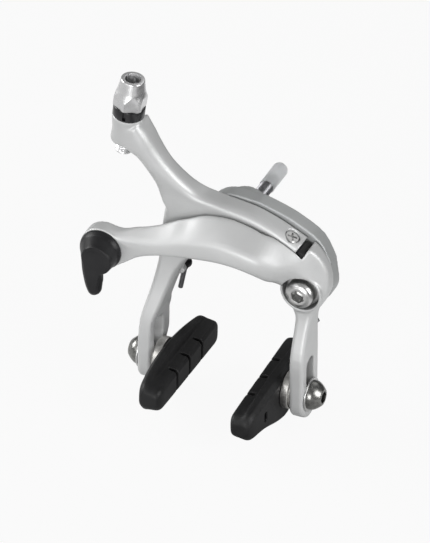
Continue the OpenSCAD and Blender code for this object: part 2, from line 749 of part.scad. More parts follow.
// Return spring: one bent wire under the bracket, with an end on each arm
spring_sides = 10;
function wire_ring(p, way, r) = [
    for (j = [0:spring_sides - 1])
        let (a = -360 * j / spring_sides, out = [-way[1], way[0]] * cos(a) * r)
            [p[0] + out[0], spring_y + sin(a) * r, p[1] + out[1]]
];
module return_spring() {
    path = curve(spring_route, 3);
    last = len(path) - 1;
    color("dimgray") loft([
        for (i = [0:last])
            let (run = path[min(last, i + 1)] - path[max(0, i - 1)])
                wire_ring(path[i], run / norm(run), wire_d / 2)
    ]);
}

// Holder that clips the spring's middle under the bracket's hub
holder_l = 9;
module spring_holder() {
    top = -plate_hub_r + 0.8;
    low = spring_low - wire_d / 2 - 1.4;
    color("#202020") difference() {
        translate([-holder_l / 2, plate_front, low]) cube([holder_l, plate_t, top - low]);
        plate(fit_gap);
        translate([0, spring_y, spring_low]) rotate([0, 90, 0])
            cylinder(h = holder_l + 2 * past, r = wire_d / 2 + slot_gap, center = true);
    }
}

// Brake shoe, lying along Y: a long back that widens round the bolt, with a
// grooved rubbing block on it
shoe_stops = [0.12, 0.24, 0.36, 0.48, 0.6, 0.72, 0.84, 0.9, 0.95, 0.985, 1];
nose = 0.86;
top_swell = 2.6;
low_swell = 7.2;
function shoe_ring(t) =
    let (
        y = shoe_y + t * shoe_l / 2,
        full = sqrt(1 - 0.75 * pow(max(0, abs(t) - nose) / (1 - nose), 2)),
        swell = exp(-pow((y - leg_y) / (y < leg_y ? 14 : 9), 2)),
        face = shoe_gap / 2 + 2.4 * (1 - full),
        seam = shoe_gap / 2 + block_t,
        back = seam + back_t - 1.6 * t * t - 1.4 * (1 - full),
        block = block_h / 2 * full,
        high = (back_h / 2 + top_swell * (1 - t * t)) * full,
        low = (back_h / 2 + low_swell * swell) * full
    )
    [
        for (p = [
            [face, block - 1.2], [face + 0.8, block], [seam - 0.8, block + 0.4],
            [seam, high], [back - 1.6, high], [back, high - 1.8],
            [back, 1.8 - low], [back - 1.6, -low], [seam, -low],
            [seam - 0.8, -block - 0.4], [face + 0.8, -block], [face, 1.2 - block]
        ]) [p[0], y, leg_z + p[1]]
    ];
module shoe() {
    count = len(shoe_stops) - 1;
    stops = concat([for (i = [count:-1:0]) -shoe_stops[i]], [0], shoe_stops);
    pitch = shoe_l / (block_count + 1);
    color("#1c1c1c") difference() {
        loft([for (t = stops) shoe_ring(t)]);
        for (i = [1:block_count - 1])
            translate([shoe_gap / 2 - past, shoe_y + (i - block_count / 2) * pitch - groove_w / 2,
                leg_z - back_h])
                cube([groove_depth + past, groove_w, 2 * back_h]);
        shoe_eye();
        insert_body(fit_gap);
    }
}

// Small slot through the front of the shoe's back
module shoe_eye() {
    for (z = [-1, 1])
        translate([shoe_gap / 2 + block_t + 1.5, shoe_y - 0.28 * shoe_l, leg_z - 0.5 + z])
            rotate([0, 90, 0]) cylinder(h = back_t, r = 0.9);
}

// Steel insert that the shoe is moulded round; grow widens it for the cavity
insert_l = back_t + 1.4;
insert_r = 4.6;
insert_bar = [1.6, 16, 6];
module insert_body(grow) {
    back = shoe_gap / 2 + block_t + back_t;
    translate([back - insert_l - grow, leg_y, leg_z]) rotate([0, 90, 0])
        cylinder(h = insert_l + grow + (grow > 0 ? past : 0), r = insert_r + grow);
    translate([back - insert_l + insert_bar[0] / 2, leg_y, leg_z])
        cube(insert_bar + 2 * grow * [1, 1, 1], center = true);
}
module insert() {
    back = shoe_gap / 2 + block_t + back_t;
    color("gray") difference() {
        insert_body(0);
        translate([back - insert_l + 1, leg_y, leg_z]) rotate([0, 90, 0])
            cylinder(h = insert_l + past, r = bolt_r + fit_gap);
    }
}

// Shoe bolt with a tapered head and a hexagon socket
shoe_face_r = 2.9;
shoe_rim_t = 0.8;
shoe_socket = 4;
module shoe_bolt() {
    head = leg_out + outer_washer_t;
    tip = shoe_gap / 2 + block_t + back_t - insert_l + 1.4;
    color("#303030") translate([0, leg_y, leg_z]) difference() {
        union() {
            translate([tip, 0, 0]) rotate([0, 90, 0]) cylinder(h = head - tip, r = bolt_r);
            translate([head, 0, 0]) rotate([0, 90, 0]) rotate_extrude() polygon(concat(
                [[0, 0], [shoe_head_r, 0]],
                [for (t = [0:0.2:1]) [
                    shoe_face_r + (shoe_head_r - shoe_face_r) * (1 - pow(t, 1.6)),
                    shoe_rim_t + (shoe_head_h - shoe_rim_t) * t
                ]],
                [[0, shoe_head_h]]
            ));
        }
        translate([head + shoe_head_h - 2.6, 0, 0]) rotate([0, 90, 0])
            cylinder(h = 2.6 + past, r = shoe_socket / 2 / cos(30), $fn = 6);
    }
}

module outer_washer() {
    color("silver") translate([leg_out, leg_y, leg_z]) rotate([0, 90, 0]) difference() {
        cylinder(h = outer_washer_t, r = shoe_head_r + 0.9);
        translate([0, 0, -past]) cylinder(h = outer_washer_t + 2 * past, r = bolt_r + fit_gap);
    }
}

// Domed washer against the leg and cupped washer against the shoe: the pair
// lets the shoe tilt before its bolt is tightened
function dome_drop(r) = dome_round - sqrt(dome_round * dome_round - r * r);
module dome_washer() {
    color("silver") translate([leg_in, leg_y, leg_z]) rotate([0, -90, 0]) rotate_extrude()
        polygon(concat(
            [[bolt_r + fit_gap, 0], [dome_r, 0]],
            [for (i = [6:-1:0]) let (r = bolt_r + fit_gap + (dome_r - bolt_r - fit_gap) * i / 6)
                [r, dome_t - dome_drop(r)]]
        ));
}
module cup_washer() {
    back = shoe_gap / 2 + block_t + back_t;
    color("silver") translate([back, leg_y, leg_z]) rotate([0, 90, 0]) rotate_extrude()
        polygon(concat(
            [[bolt_r + 0.4, 0], [cup_r, 0]],
            [for (i = [6:-1:0]) let (r = bolt_r + 0.4 + (cup_r - bolt_r - 0.4) * i / 6)
                [r, cup_t + dome_drop(r) - fit_gap]]
        ));
}

// Soft cap that keeps the bolt's end clean until the brake is fitted
module bolt_cap() {
    start = bolt_reach - cap_grip;
    outer = lead_r + run_gap + cap_wall;
    color("white", 0.5) difference() {
        union() {
            along_y(outer, start, start + cap_l - 1.2);
            along_y(outer, start + cap_l - 1.2, start + cap_l, 0, 0, outer - 1);
        }
        along_y(lead_r + run_gap, start - past, start + cap_l - 1.4);
    }
}

module left() { mirror([1, 0, 0]) children(); }

// Turns a shoe about its bolt
module tilted(angle) {
    translate([0, leg_y, leg_z]) rotate([angle, 0, 0]) translate([0, -leg_y, -leg_z]) children();
}

bracket();
centre_bolt();
centre_nut();
front_washer();
thrust_washer(0, 0);  // centre_thrust_washer
side_bolt();
side_washer();
thrust_washer(side_x, side_z);  // side_thrust_washer
return_spring();
spring_holder();
y_arm();
arm_bush(arm_front, arm_rear, 0, 0);  // y_arm_bush
slider(left_end);  // y_arm_slider
c_arm();
arm_bush(counter_floor, arm_rear, side_x, side_z);  // c_arm_bush
slider(right_end);  // c_arm_slider
tail_buffer();
centring_screw();
adjuster_ring();
adjuster_barrel();
release_lever();
release_cam();
clamp_stud();
clamp_plate();
clamp_washer();
clamp_nut();
left() tilted(left_tilt) shoe();  // left_shoe
left() tilted(left_tilt) insert();  // left_insert
left() shoe_bolt();  // left_shoe_bolt
left() outer_washer();  // left_outer_washer
left() dome_washer();  // left_dome_washer
left() cup_washer();  // left_cup_washer
tilted(right_tilt) shoe();  // right_shoe
tilted(right_tilt) insert();  // right_insert
shoe_bolt();  // right_shoe_bolt
outer_washer();  // right_outer_washer
dome_washer();  // right_dome_washer
cup_washer();  // right_cup_washer
bolt_cap();
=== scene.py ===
import bpy
import json
import math
from mathutils import Matrix, Vector

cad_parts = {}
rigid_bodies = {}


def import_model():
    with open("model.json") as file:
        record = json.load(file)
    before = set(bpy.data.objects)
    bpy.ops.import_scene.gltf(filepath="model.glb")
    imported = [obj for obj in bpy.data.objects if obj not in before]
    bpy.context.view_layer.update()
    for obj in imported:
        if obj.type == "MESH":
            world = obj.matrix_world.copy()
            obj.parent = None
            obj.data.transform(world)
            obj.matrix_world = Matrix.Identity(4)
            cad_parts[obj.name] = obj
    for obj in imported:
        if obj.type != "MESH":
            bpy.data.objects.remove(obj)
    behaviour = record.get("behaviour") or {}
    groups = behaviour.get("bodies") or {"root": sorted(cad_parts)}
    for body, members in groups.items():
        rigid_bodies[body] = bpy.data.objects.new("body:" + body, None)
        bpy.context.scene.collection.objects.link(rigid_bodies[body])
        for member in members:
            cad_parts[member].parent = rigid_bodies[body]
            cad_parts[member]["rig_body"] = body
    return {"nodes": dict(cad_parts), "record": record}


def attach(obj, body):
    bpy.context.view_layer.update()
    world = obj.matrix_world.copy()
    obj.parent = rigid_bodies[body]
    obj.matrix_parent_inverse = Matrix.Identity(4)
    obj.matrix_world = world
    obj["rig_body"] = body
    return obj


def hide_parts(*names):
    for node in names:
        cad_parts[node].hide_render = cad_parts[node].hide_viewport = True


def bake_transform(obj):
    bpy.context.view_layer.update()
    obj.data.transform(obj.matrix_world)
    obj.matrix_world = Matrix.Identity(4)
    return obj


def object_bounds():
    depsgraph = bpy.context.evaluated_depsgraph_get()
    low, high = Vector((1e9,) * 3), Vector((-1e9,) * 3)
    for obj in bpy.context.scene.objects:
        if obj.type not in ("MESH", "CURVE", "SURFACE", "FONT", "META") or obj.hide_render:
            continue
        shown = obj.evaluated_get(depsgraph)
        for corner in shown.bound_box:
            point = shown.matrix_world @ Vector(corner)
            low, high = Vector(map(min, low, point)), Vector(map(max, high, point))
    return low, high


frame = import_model()
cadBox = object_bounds()
nodes = frame["nodes"]
mm = 0.001
pole = 0.001    # radius in mm of a ring that closes a turned part on its axis
past = 1    # how far a cutter reaches out of the face that it cuts
sideAxis = (28, 0, -15)    # the C arm's pivot
shoeAxis = {"y": -19.45, "z": -57.5}    # the shoe bolts' line
tailTilt = 27    # of the centring screw and of the pocket's end, in degrees

# camera at the photograph's angle, far off with a long lens
view = {"azimuth": 24, "elevation": 35, "distance": 3.0, "pixelsPerMm": 2.91,
        "imageWidth": 430, "imageHeight": 543, "originAt": (227.6, 236),
        "origin": (0, -19.5, 0), "sensor": 36, "roll": 0.3, "clipEnd": 20}

# soft light: size and place in metres, power in watts; strips are what polished pieces
# see across the floor, as (place, brightness)
studio = {"lamps": {"left": {"at": (-1.2, -0.1, 0.5), "size": 0.8, "power": 12.5},
                    "right": {"at": (1.2, -0.2, 0.5), "size": 0.8, "power": 12.5},
                    "front": {"at": (0.2, -1.25, 0.25), "size": 0.7, "power": 8.5},
                    "key": {"at": (-0.6, -1.1, 0.6), "size": 0.8, "power": 3.5},
                    "rear": {"at": (0.2, 0.9, 0.9), "size": 0.8, "power": 1.2}},
          "aim": (0, -0.02, -0.01),
          "sky": 0.12, "horizon": 0.06, "skyFrom": 0, "skyTo": 0.8,
          "glossSky": 0.4, "glossHorizon": 0.1, "glossFrom": 0.1, "glossTo": 0.9,
          "background": 1.0, "paper": 0.4, "glow": 0.93, "floorBelow": 0.6, "floorSize": 12,
          "stripReach": 0.25,
          "strips": [(0, 0.6), (0.3, 0.95), (0.42, 0.8), (0.47, 0.35), (0.53, 0.35), (0.6, 0.95),
                     (0.66, 0.85), (0.75, 0.2), (1, 0.12)]}


def pick(piece):
    bpy.ops.object.select_all(action="DESELECT")
    piece.select_set(True)
    bpy.context.view_layer.objects.active = piece
    return piece


def editAll(piece):
    pick(piece)
    bpy.ops.object.mode_set(mode="EDIT")
    bpy.ops.mesh.select_all(action="SELECT")


def closeMesh():    # seams and poles merge, faces point outwards
    bpy.ops.mesh.select_all(action="SELECT")
    bpy.ops.mesh.remove_doubles(threshold=0.004 * mm)
    bpy.ops.mesh.normals_make_consistent(inside=False)
    bpy.ops.object.mode_set(mode="OBJECT")


def useModifier(piece, kind, **settings):
    pick(piece)
    modifier = piece.modifiers.new(kind.title(), kind)
    for key, value in settings.items():
        setattr(modifier, key, value)
    bpy.ops.object.modifier_apply(modifier=modifier.name)


def settle(piece):    # place and turn go into the mesh
    pick(piece)
    bpy.ops.object.transform_apply(location=True, rotation=True, scale=True)
    return piece


def layDown(piece, at, along=(0, 0, 1), turn=0):    # from upright at the origin to its place
    swing = Vector((0, 0, 1)).rotation_difference(Vector(along)).to_matrix().to_4x4()
    piece.matrix_world = (Matrix.Translation(Vector(at) * mm) @ swing
                          @ Matrix.Rotation(math.radians(turn), 4, "Z"))
    return settle(piece)


def copyOfNode(node, name):    # its triangles merge back into whole faces
    piece = bpy.data.objects.new(name, nodes[node].data.copy())
    bpy.context.scene.collection.objects.link(piece)
    editAll(piece)
    bpy.ops.mesh.remove_doubles(threshold=0.002 * mm)
    bpy.ops.mesh.dissolve_limited(angle_limit=math.radians(0.5))
    bpy.ops.object.mode_set(mode="OBJECT")
    return piece


def mirrored(piece, name):
    twin = bpy.data.objects.new(name, piece.data.copy())
    bpy.context.scene.collection.objects.link(twin)
    twin.scale = (-1, 1, 1)
    editAll(settle(twin))
    bpy.ops.mesh.normals_make_consistent(inside=False)
    bpy.ops.object.mode_set(mode="OBJECT")
    return twin


def smoothBy(piece, degrees=35):
    pick(piece)
    bpy.ops.object.shade_smooth_by_angle(angle=math.radians(degrees))
    return piece


def roundEdges(piece, width, degrees=32):
    useModifier(piece, "BEVEL", width=width * mm, segments=2, limit_method="ANGLE",
                angle_limit=math.radians(degrees), use_clamp_overlap=True)
    return smoothBy(piece)


def cutWith(piece, cutter, solver="EXACT"):
    useModifier(piece, "BOOLEAN", object=cutter, operation="DIFFERENCE", solver=solver)
    bpy.data.objects.remove(cutter, do_unlink=True)
    return piece


# a turned part: rings are extruded up the profile of (radius, height); where the
# profile ends on its first point the part is a closed ring
def turned(name, profile, sides=72):
    bpy.ops.mesh.primitive_circle_add(vertices=sides, radius=profile[0][0] * mm,
                                      location=(0, 0, profile[0][1] * mm))
    piece = bpy.context.active_object
    piece.name = name
    editAll(piece)
    for (r0, z0), (r1, z1) in zip(profile, profile[1:]):
        bpy.ops.mesh.extrude_edges_move(
            TRANSFORM_OT_translate={"value": (0, 0, (z1 - z0) * mm)})
        bpy.ops.transform.resize(value=(r1 / r0, r1 / r0, 1))
    closeMesh()
    return settle(piece)


def hexBar(flat, low, high):    # cuts a hexagon socket, measured across its flats
    bpy.ops.mesh.primitive_cylinder_add(
        vertices=6, radius=flat / 2 / math.cos(math.pi / 6) * mm,
        depth=(high - low) * mm, location=(0, 0, (low + high) / 2 * mm))
    return settle(bpy.context.active_object)


def block(size, at, turn=0):
    bpy.ops.mesh.primitive_cube_add(size=1, location=[value * mm for value in at],
                                    rotation=(0, 0, math.radians(turn)))
    piece = bpy.context.active_object
    piece.scale = [value * mm for value in size]
    return settle(piece)


def arcOf(middle, radius, start, stop, steps):    # points on a part of a circle
    angles = [math.radians(start + (stop - start) * i / steps) for i in range(steps + 1)]
    return [(middle[0] + radius * math.cos(a), middle[1] + radius * math.sin(a)) for a in angles]


def rod(radius, low, high, step=0.1):    # close rings for a thread
    count = int((high - low) / step)
    return [(radius, low + (high - low) * i / count) for i in range(count + 1)]


# a thread: each point outside the core moves in with its height and its turn round the axis
def windThread(piece, low, high, pitch, depth, core=0.5):
    for vertex in piece.data.vertices:
        x, y, z = vertex.co / mm
        radius = math.hypot(x, y)
        if low <= z <= high and radius > core:
            phase = (z / pitch - math.atan2(y, x) / (2 * math.pi)) % 1
            fade = min(1, (z - low) / pitch, (high - z) / pitch)
            cut = depth * fade * abs(2 * phase - 1)
            vertex.co.x *= (radius - cut) / radius
            vertex.co.y *= (radius - cut) / radius
    return piece


# materials
noiseReach = {"roughness": (0.3, 0.7), "colour": (0.35, 0.65)}    # the part of a noise in use


def setInputs(node, values):    # From_Min stands for the socket From Min
    for socket, value in values.items():
        node.inputs[socket.replace("_", " ")].default_value = value
    return node


def addNode(tree, kind, **values):
    return setInputs(tree.nodes.new("ShaderNode" + kind), values)


def link(tree, *pairs):
    for source, target in pairs:
        tree.links.new(source, target)


def shaderOf(material):
    return material.node_tree.nodes["Principled BSDF"]


def newMaterial(name, **values):
    material = bpy.data.materials.new(name)
    material.use_nodes = True
    setInputs(shaderOf(material), values)
    return material


def noiseOn(material, scale, detail, roughness=0.5):
    tree = material.node_tree
    place = addNode(tree, "TexCoord")
    noise = addNode(tree, "TexNoise", Scale=scale, Detail=detail, Roughness=roughness)
    link(tree, (place.outputs["Object"], noise.inputs["Vector"]))
    return noise


def roughen(material, source, low, high):
    start, stop = noiseReach["roughness"]
    ramp = addNode(material.node_tree, "MapRange", From_Min=start, From_Max=stop, To_Min=low,
                   To_Max=high)
    link(material.node_tree, (source.outputs[0], ramp.inputs["Value"]),
         (ramp.outputs["Result"], shaderOf(material).inputs["Roughness"]))


def tint(material, source, first, second):
    ramp = addNode(material.node_tree, "ValToRGB")
    for i, colour in enumerate((first, second)):
        ramp.color_ramp.elements[i].position = noiseReach["colour"][i]
        ramp.color_ramp.elements[i].color = (*colour, 1)
    link(material.node_tree, (source.outputs[0], ramp.inputs["Fac"]),
         (ramp.outputs["Color"], shaderOf(material).inputs["Base Color"]))
    return ramp


def bump(material, source, height, strength):
    relief = addNode(material.node_tree, "Bump", Strength=strength, Distance=height * mm)
    link(material.node_tree, (source.outputs[0], relief.inputs["Height"]),
         (relief.outputs["Normal"], shaderOf(material).inputs["Normal"]))


# painted shade inside the side bolt's counterbore: within its radius of the bolt's axis the arm's
# colour turns dark grey
def paintShadeInBore(material, ramp, bore):
    tree = material.node_tree
    place = addNode(tree, "TexCoord")
    flat = addNode(tree, "VectorMath")
    flat.operation = "MULTIPLY"
    flat.inputs[1].default_value = (1, 0, 1)
    reach = addNode(tree, "VectorMath")
    reach.operation = "DISTANCE"
    reach.inputs[1].default_value = [value * mm for value in sideAxis]
    share = addNode(tree, "MapRange", From_Min=bore["radius"] * mm,
                    From_Max=(bore["radius"] - bore["blend"]) * mm)
    mix = addNode(tree, "Mix")
    mix.data_type = "RGBA"
    mix.inputs[7].default_value = (*bore["paint"], 1)
    link(tree, (place.outputs["Object"], flat.inputs[0]), (flat.outputs[0], reach.inputs[0]),
         (reach.outputs["Value"], share.inputs["Value"]),
         (share.outputs["Result"], mix.inputs[0]), (ramp.outputs["Color"], mix.inputs[6]),
         (mix.outputs[2], shaderOf(material).inputs["Base Color"]))


def satinSilver(name, light, dark, bore=None):
    material = newMaterial(name, Metallic=0.45, IOR=1.5)
    flakes = noiseOn(material, scale=2600, detail=1.0)
    clouds = noiseOn(material, scale=60, detail=3.0)
    ramp = tint(material, clouds, dark, light)
    # the counterbore's painted shade, where one is given
    if bore:
        paintShadeInBore(material, ramp, bore)
    roughen(material, flakes, low=0.46, high=0.54)
    bump(material, flakes, height=0.008, strength=0.4)
    return material


def steel(name, light, dark, low, high, scale=900, relief=0.006):
    material = newMaterial(name, Metallic=1.0)
    grain = noiseOn(material, scale, detail=4.0, roughness=0.6)
    tint(material, grain, dark, light)
    roughen(material, grain, low, high)
    bump(material, grain, relief, strength=0.1)
    return material


def blackPlastic(name, low, high, ior):
    material = newMaterial(name, IOR=ior)
    grain = noiseOn(material, scale=1800, detail=2.0)
    clouds = noiseOn(material, scale=90, detail=3.0)
    tint(material, clouds, (0.009, 0.009, 0.01), (0.016, 0.016, 0.017))
    roughen(material, clouds, low, high)
    bump(material, grain, height=0.015, strength=0.35)
    return material


def padRubber():
    material = newMaterial("shoeRubber", IOR=1.36)
    grain = noiseOn(material, scale=1400, detail=4.0, roughness=0.65)
    dust = noiseOn(material, scale=140, detail=5.0, roughness=0.7)
    tint(material, dust, (0.005, 0.005, 0.0055), (0.01, 0.01, 0.0105))
    roughen(material, dust, low=0.46, high=0.6)
    bump(material, grain, height=0.04, strength=0.45)
    return material


def milkyPlastic():
    material = newMaterial("milkyCap", Transmission_Weight=0.72, IOR=1.2)
    clouds = noiseOn(material, scale=160, detail=2.0)
    tint(material, clouds, (0.88, 0.89, 0.9), (0.95, 0.955, 0.96))
    roughen(material, clouds, low=0.32, high=0.4)
    bump(material, clouds, height=0.005, strength=0.1)
    return material


# light and dark colour, then the lowest and highest roughness
# painted shade for the side bolt's counterbore: its radius, the width of its soft edge, and the
# dark grey painted there
counterbore = {"radius": 7.0, "blend": 0.5, "paint": (0.13, 0.13, 0.13)}
looks = {
    "arm": satinSilver("satinSilver", (0.57, 0.575, 0.575), (0.53, 0.535, 0.535), counterbore),
    "bracket": satinSilver("bracketSilver", (0.42, 0.43, 0.43), (0.38, 0.39, 0.39)),
    "chrome": steel("brightChrome", (0.86, 0.86, 0.86), (0.8, 0.8, 0.81), 0.26, 0.32,
                    scale=500, relief=0.002),
    "brightSteel": steel("platedSteel", (0.6, 0.6, 0.59), (0.5, 0.5, 0.5), 0.28, 0.38),
    "washer": steel("polishedWasher", (0.62, 0.61, 0.59), (0.5, 0.49, 0.47), 0.3, 0.4),
    "darkSteel": steel("darkSteel", (0.22, 0.22, 0.23), (0.13, 0.13, 0.135), 0.3, 0.42),
    "blackSteel": steel("greyBolt", (0.25, 0.25, 0.24), (0.17, 0.17, 0.165), 0.24, 0.34),
    "bronze": steel("bearingBronze", (0.5, 0.33, 0.17), (0.36, 0.23, 0.12), 0.35, 0.5),
    "plastic": blackPlastic("mouldedBlack", 0.34, 0.44, ior=1.31),
    "ring": blackPlastic("glossBlack", 0.16, 0.24, ior=1.5),
    "rubber": padRubber(),
    "cap": milkyPlastic(),
}
slotLook = {"arm_paint": "arm", "bracket_paint": "bracket", "bright_steel": "brightSteel",
            "dark_steel": "darkSteel", "black_steel": "blackSteel", "bronze": "bronze",
            "black_plastic": "plastic", "polished_metal": "chrome", "shoe_rubber": "rubber",
            "clear_cap": "cap"}
slotOf = {row["node"]: row["material_slot"] for row in frame["record"]["subparts"]}
print("materials ready:", len(looks))


def bodyOf(node):
    return nodes[node]["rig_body"]


# a piece rides, and takes its slot and finish, as the node that it stands for; a piece
# with rides off rides on nothing
def finishLike(piece, node, look=None, rides=True):
    piece.data.materials.clear()
    piece.data.materials.append(looks[look or slotLook[slotOf[node]]])
    if rides:
        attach(piece, bodyOf(node))
    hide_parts(node)
    return piece


def finishPair(piece, name, node, degrees, look=None):    # the left one mirrors the right one
    twin = smoothBy(mirrored(smoothBy(piece, degrees), "left" + name), degrees)
    finishLike(piece, "right_" + node, look)
    finishLike(twin, "left_" + node, look)


# every CAD node that stays in sight gets its finish
for name, node in nodes.items():
    node.data.materials.clear()
    node.data.materials.append(looks[slotLook[slotOf[name]]])


def rise(value, low, high):    # 0 to 1 in a soft step
    share = max(0, min(1, (value - low) / (high - low)))
    return share * share * (3 - 2 * share)


def fall(value, stop, reach):    # 1 to 0 in a soft step that ends at stop
    return rise(stop, value, value + reach)


# where the forgings are rounded further or filled: a pair is the two ends of a rise, or
# the stop and the reach of a fall
yArm = {"seatFlow": {"left": (8, 16), "low": (10, 18), "top": (41.5, 5)},
        "leg": {"right": -20, "top": -30, "from": (34, 40), "to": (57, 7),
                "front": (-19.5, -12.8), "deeper": 3.2},
        "neck": {"right": -14, "through": (-22.9, 6.3), "across": (0.88, 0.47), "band": (8, 8),
                 "low": (5, 10), "top": (38, 6), "fuller": (-0.85, 0, -0.4)}}


def softNeck(p):    # the neck flows into the cable seat
    flow = yArm["seatFlow"]
    return rise(-p.x, *flow["left"]) * rise(p.z, *flow["low"]) * fall(p.z, *flow["top"])


def fillNeck(p):    # leg deeper towards the rear, neck fuller on its left
    leg, neck = yArm["leg"], yArm["neck"]
    if p.x < leg["right"] and p.z < leg["top"]:
        share = rise(-p.z, *leg["from"]) * fall(-p.z, *leg["to"])
        return Vector((0, leg["deeper"] * share * rise(p.y, *leg["front"]), 0))
    if p.x >= neck["right"]:
        return Vector()
    inside = ((p.x - neck["through"][0]) * neck["across"][0]
              + (p.z - neck["through"][1]) * neck["across"][1])
    share = fall(inside, *neck["band"]) * rise(p.z, *neck["low"]) * fall(p.z, *neck["top"])
    return Vector(neck["fuller"]) * share


cArm = {"crown": {"left": (-31, -27), "right": (29, 3), "low": (-15, -11), "rear": (-14, 3),
                  "clearOfBolt": (8.5, 10.5)},
        "pocketEnd": {"at": (23.5, -9.5), "band": (4.5, 4.5)},
        "bow": {"left": -38, "right": 21, "low": -14, "from": (-36, -31), "to": (21, 4),
                "blend": 4, "lower": 1.1, "upper": 0.6, "upperTo": (-12, 6),
                "middle": [(-40, -9), (-36, -9), (-30, -6), (-22, -2.7), (-15, -0.2),
                           (-7.5, 2), (1, 3.1), (8, 2.4), (15, 0.4), (21, -2.6)]}}


def softBow(p):    # the front of the bow is crowned, its pocket ends round
    crown, pocket = cArm["crown"], cArm["pocketEnd"]
    fromBolt = math.hypot(p.x - sideAxis[0], p.z - sideAxis[2])
    fromEnd = math.hypot(p.x - pocket["at"][0], p.z - pocket["at"][1])
    share = rise(p.x, *crown["left"]) * fall(p.x, *crown["right"]) * rise(p.z, *crown["low"])
    share *= fall(p.y, *crown["rear"]) * rise(fromBolt, *crown["clearOfBolt"])
    return max(share, fall(fromEnd, *pocket["band"]))


def fillBow(p):    # the bow is fuller below, and above at its left
    bow = cArm["bow"]
    if p.z < bow["low"] or p.x < bow["left"] or p.x > bow["right"]:
        return Vector()
    middle = 0
    for (x0, z0), (x1, z1) in zip(bow["middle"], bow["middle"][1:]):
        if x0 <= p.x <= x1:
            middle = z0 + (z1 - z0) * (p.x - x0) / (x1 - x0)
    ends = rise(p.x, *bow["from"]) * fall(p.x, *bow["to"])
    low = fall(p.z, middle, bow["blend"])
    high = rise(p.z, middle, middle + bow["blend"]) * fall(p.x, *bow["upperTo"])
    return Vector((0, 0, ends * (bow["upper"] * high - bow["lower"] * low)))


shoe = {"ends": (17, 25), "eye": (5, 1.8, 3.9)}


def softEnds(p):    # both ends of a shoe
    return rise(abs(p.y - shoeAxis["y"]), *shoe["ends"])


# the lever's finger is thinner and stepped; a leaning cone stands between its rim and face
lever = {"notches": [((8, 12, 12), (-35.2, -35.5, -21.5)), ((20, 8, 12), (-42, -32.4, -21.7))],
         "at": (-42.7, -32.3, -10.1), "rim": 7.35, "rimHeight": 0.4, "face": 5.45,
         "edge": (0.15, 0.25), "high": 6.8, "lean": 1.7}


def shapeLever(piece):
    for size, at in lever["notches"]:
        cutWith(piece, block(size, at), "FAST")
    wide, deep = lever["edge"]
    cone = turned("coneCap", [(pole, 0), (lever["rim"], 0), (lever["rim"], lever["rimHeight"]),
                              (lever["face"] + wide, lever["high"] - deep),
                              (lever["face"] - wide, lever["high"]), (pole, lever["high"])])
    layDown(cone, lever["at"], (0, -1, 0))
    for vertex in cone.data.vertices:
        vertex.co.x += (lever["at"][1] * mm - vertex.co.y) * lever["lean"] / lever["high"]
    pick(piece)
    cone.select_set(True)
    bpy.ops.object.join()    # the fine mesh that follows takes both as one solid


# forged and moulded pieces: the solid is cut into a fine even mesh and its edges flow
# together; soft names the places that are rounded further, fill what is moved
forgings = {
    "y_arm": {"name": "yArmForging", "voxel": 0.34, "rounds": 6, "soft": softNeck,
              "softRounds": 70, "fill": fillNeck},
    "c_arm": {"name": "cArmForging", "voxel": 0.34, "rounds": 6, "soft": softBow,
              "softRounds": 30, "fill": fillBow},
    "bracket": {"name": "bracketForging", "voxel": 0.34, "rounds": 5},
    "release_lever": {"name": "leverMoulding", "voxel": 0.22, "rounds": 6},
    "left_shoe": {"name": "leftShoeRubber", "voxel": 0.25, "rounds": 4,
                  "soft": softEnds, "softRounds": 60, "eyeAt": (-22.5, -36.5, -57.55)},
    "right_shoe": {"name": "rightShoeRubber", "voxel": 0.25, "rounds": 4,
                   "soft": softEnds, "softRounds": 60, "eyeAt": (22.5, -36.45, -58.9)},
}
for node, settings in forgings.items():
    piece = copyOfNode(node, settings["name"])
    if node == "release_lever":
        shapeLever(piece)
    if "eyeAt" in settings:    # one small slot through the shoe's back
        cutWith(piece, block(shoe["eye"], settings["eyeAt"]))
    useModifier(piece, "REMESH", mode="VOXEL", voxel_size=settings["voxel"] * mm,
                use_smooth_shade=True)
    useModifier(piece, "SMOOTH", factor=0.5, iterations=settings["rounds"])
    if "soft" in settings:
        group = piece.vertex_groups.new(name="soft")
        for vertex in piece.data.vertices:
            share = settings["soft"](vertex.co / mm)
            if share > 0:
                group.add([vertex.index], share, "REPLACE")
        useModifier(piece, "SMOOTH", factor=0.5, iterations=settings["softRounds"],
                    vertex_group="soft")
    if "fill" in settings:
        for vertex in piece.data.vertices:
            vertex.co += settings["fill"](vertex.co / mm) * mm
    finishLike(piece, node)
    print(settings["name"], len(piece.data.polygons))

# small machined pieces: the solid keeps its shape and its edges are broken by this width
machined = {
    "centre_nut": 0.3, "front_washer": 0.12, "centre_thrust_washer": 0.12,
    "side_washer": 0.12, "side_thrust_washer": 0.12, "y_arm_bush": 0.15, "c_arm_bush": 0.15,
    "release_cam": 0.2, "clamp_stud": 0.25, "clamp_plate": 0.2, "clamp_washer": 0.2,
    "clamp_nut": 0.25, "left_insert": 0.2, "right_insert": 0.2, "left_outer_washer": 0.15,
    "right_outer_washer": 0.15, "spring_holder": 0.35, "tail_buffer": 0.35,
    "y_arm_slider": 0.12, "c_arm_slider": 0.12,
}
tailUp = Vector((math.sin(math.radians(tailTilt)), 0, math.cos(math.radians(tailTilt))))
buffer = {"above": 10.3, "lip": 3.4}
for node, width in machined.items():
    words = node.split("_")
    piece = copyOfNode(node, words[0] + "".join(word.title() for word in words[1:]))
    if node == "tail_buffer":    # its lip reaches up beside the tail
        for vertex in piece.data.vertices:
            if vertex.co.dot(tailUp) > buffer["above"] * mm:
                vertex.co += tailUp * buffer["lip"] * mm
    roundEdges(piece, width)
    finishLike(piece, node)
print("machined pieces:", len(machined))

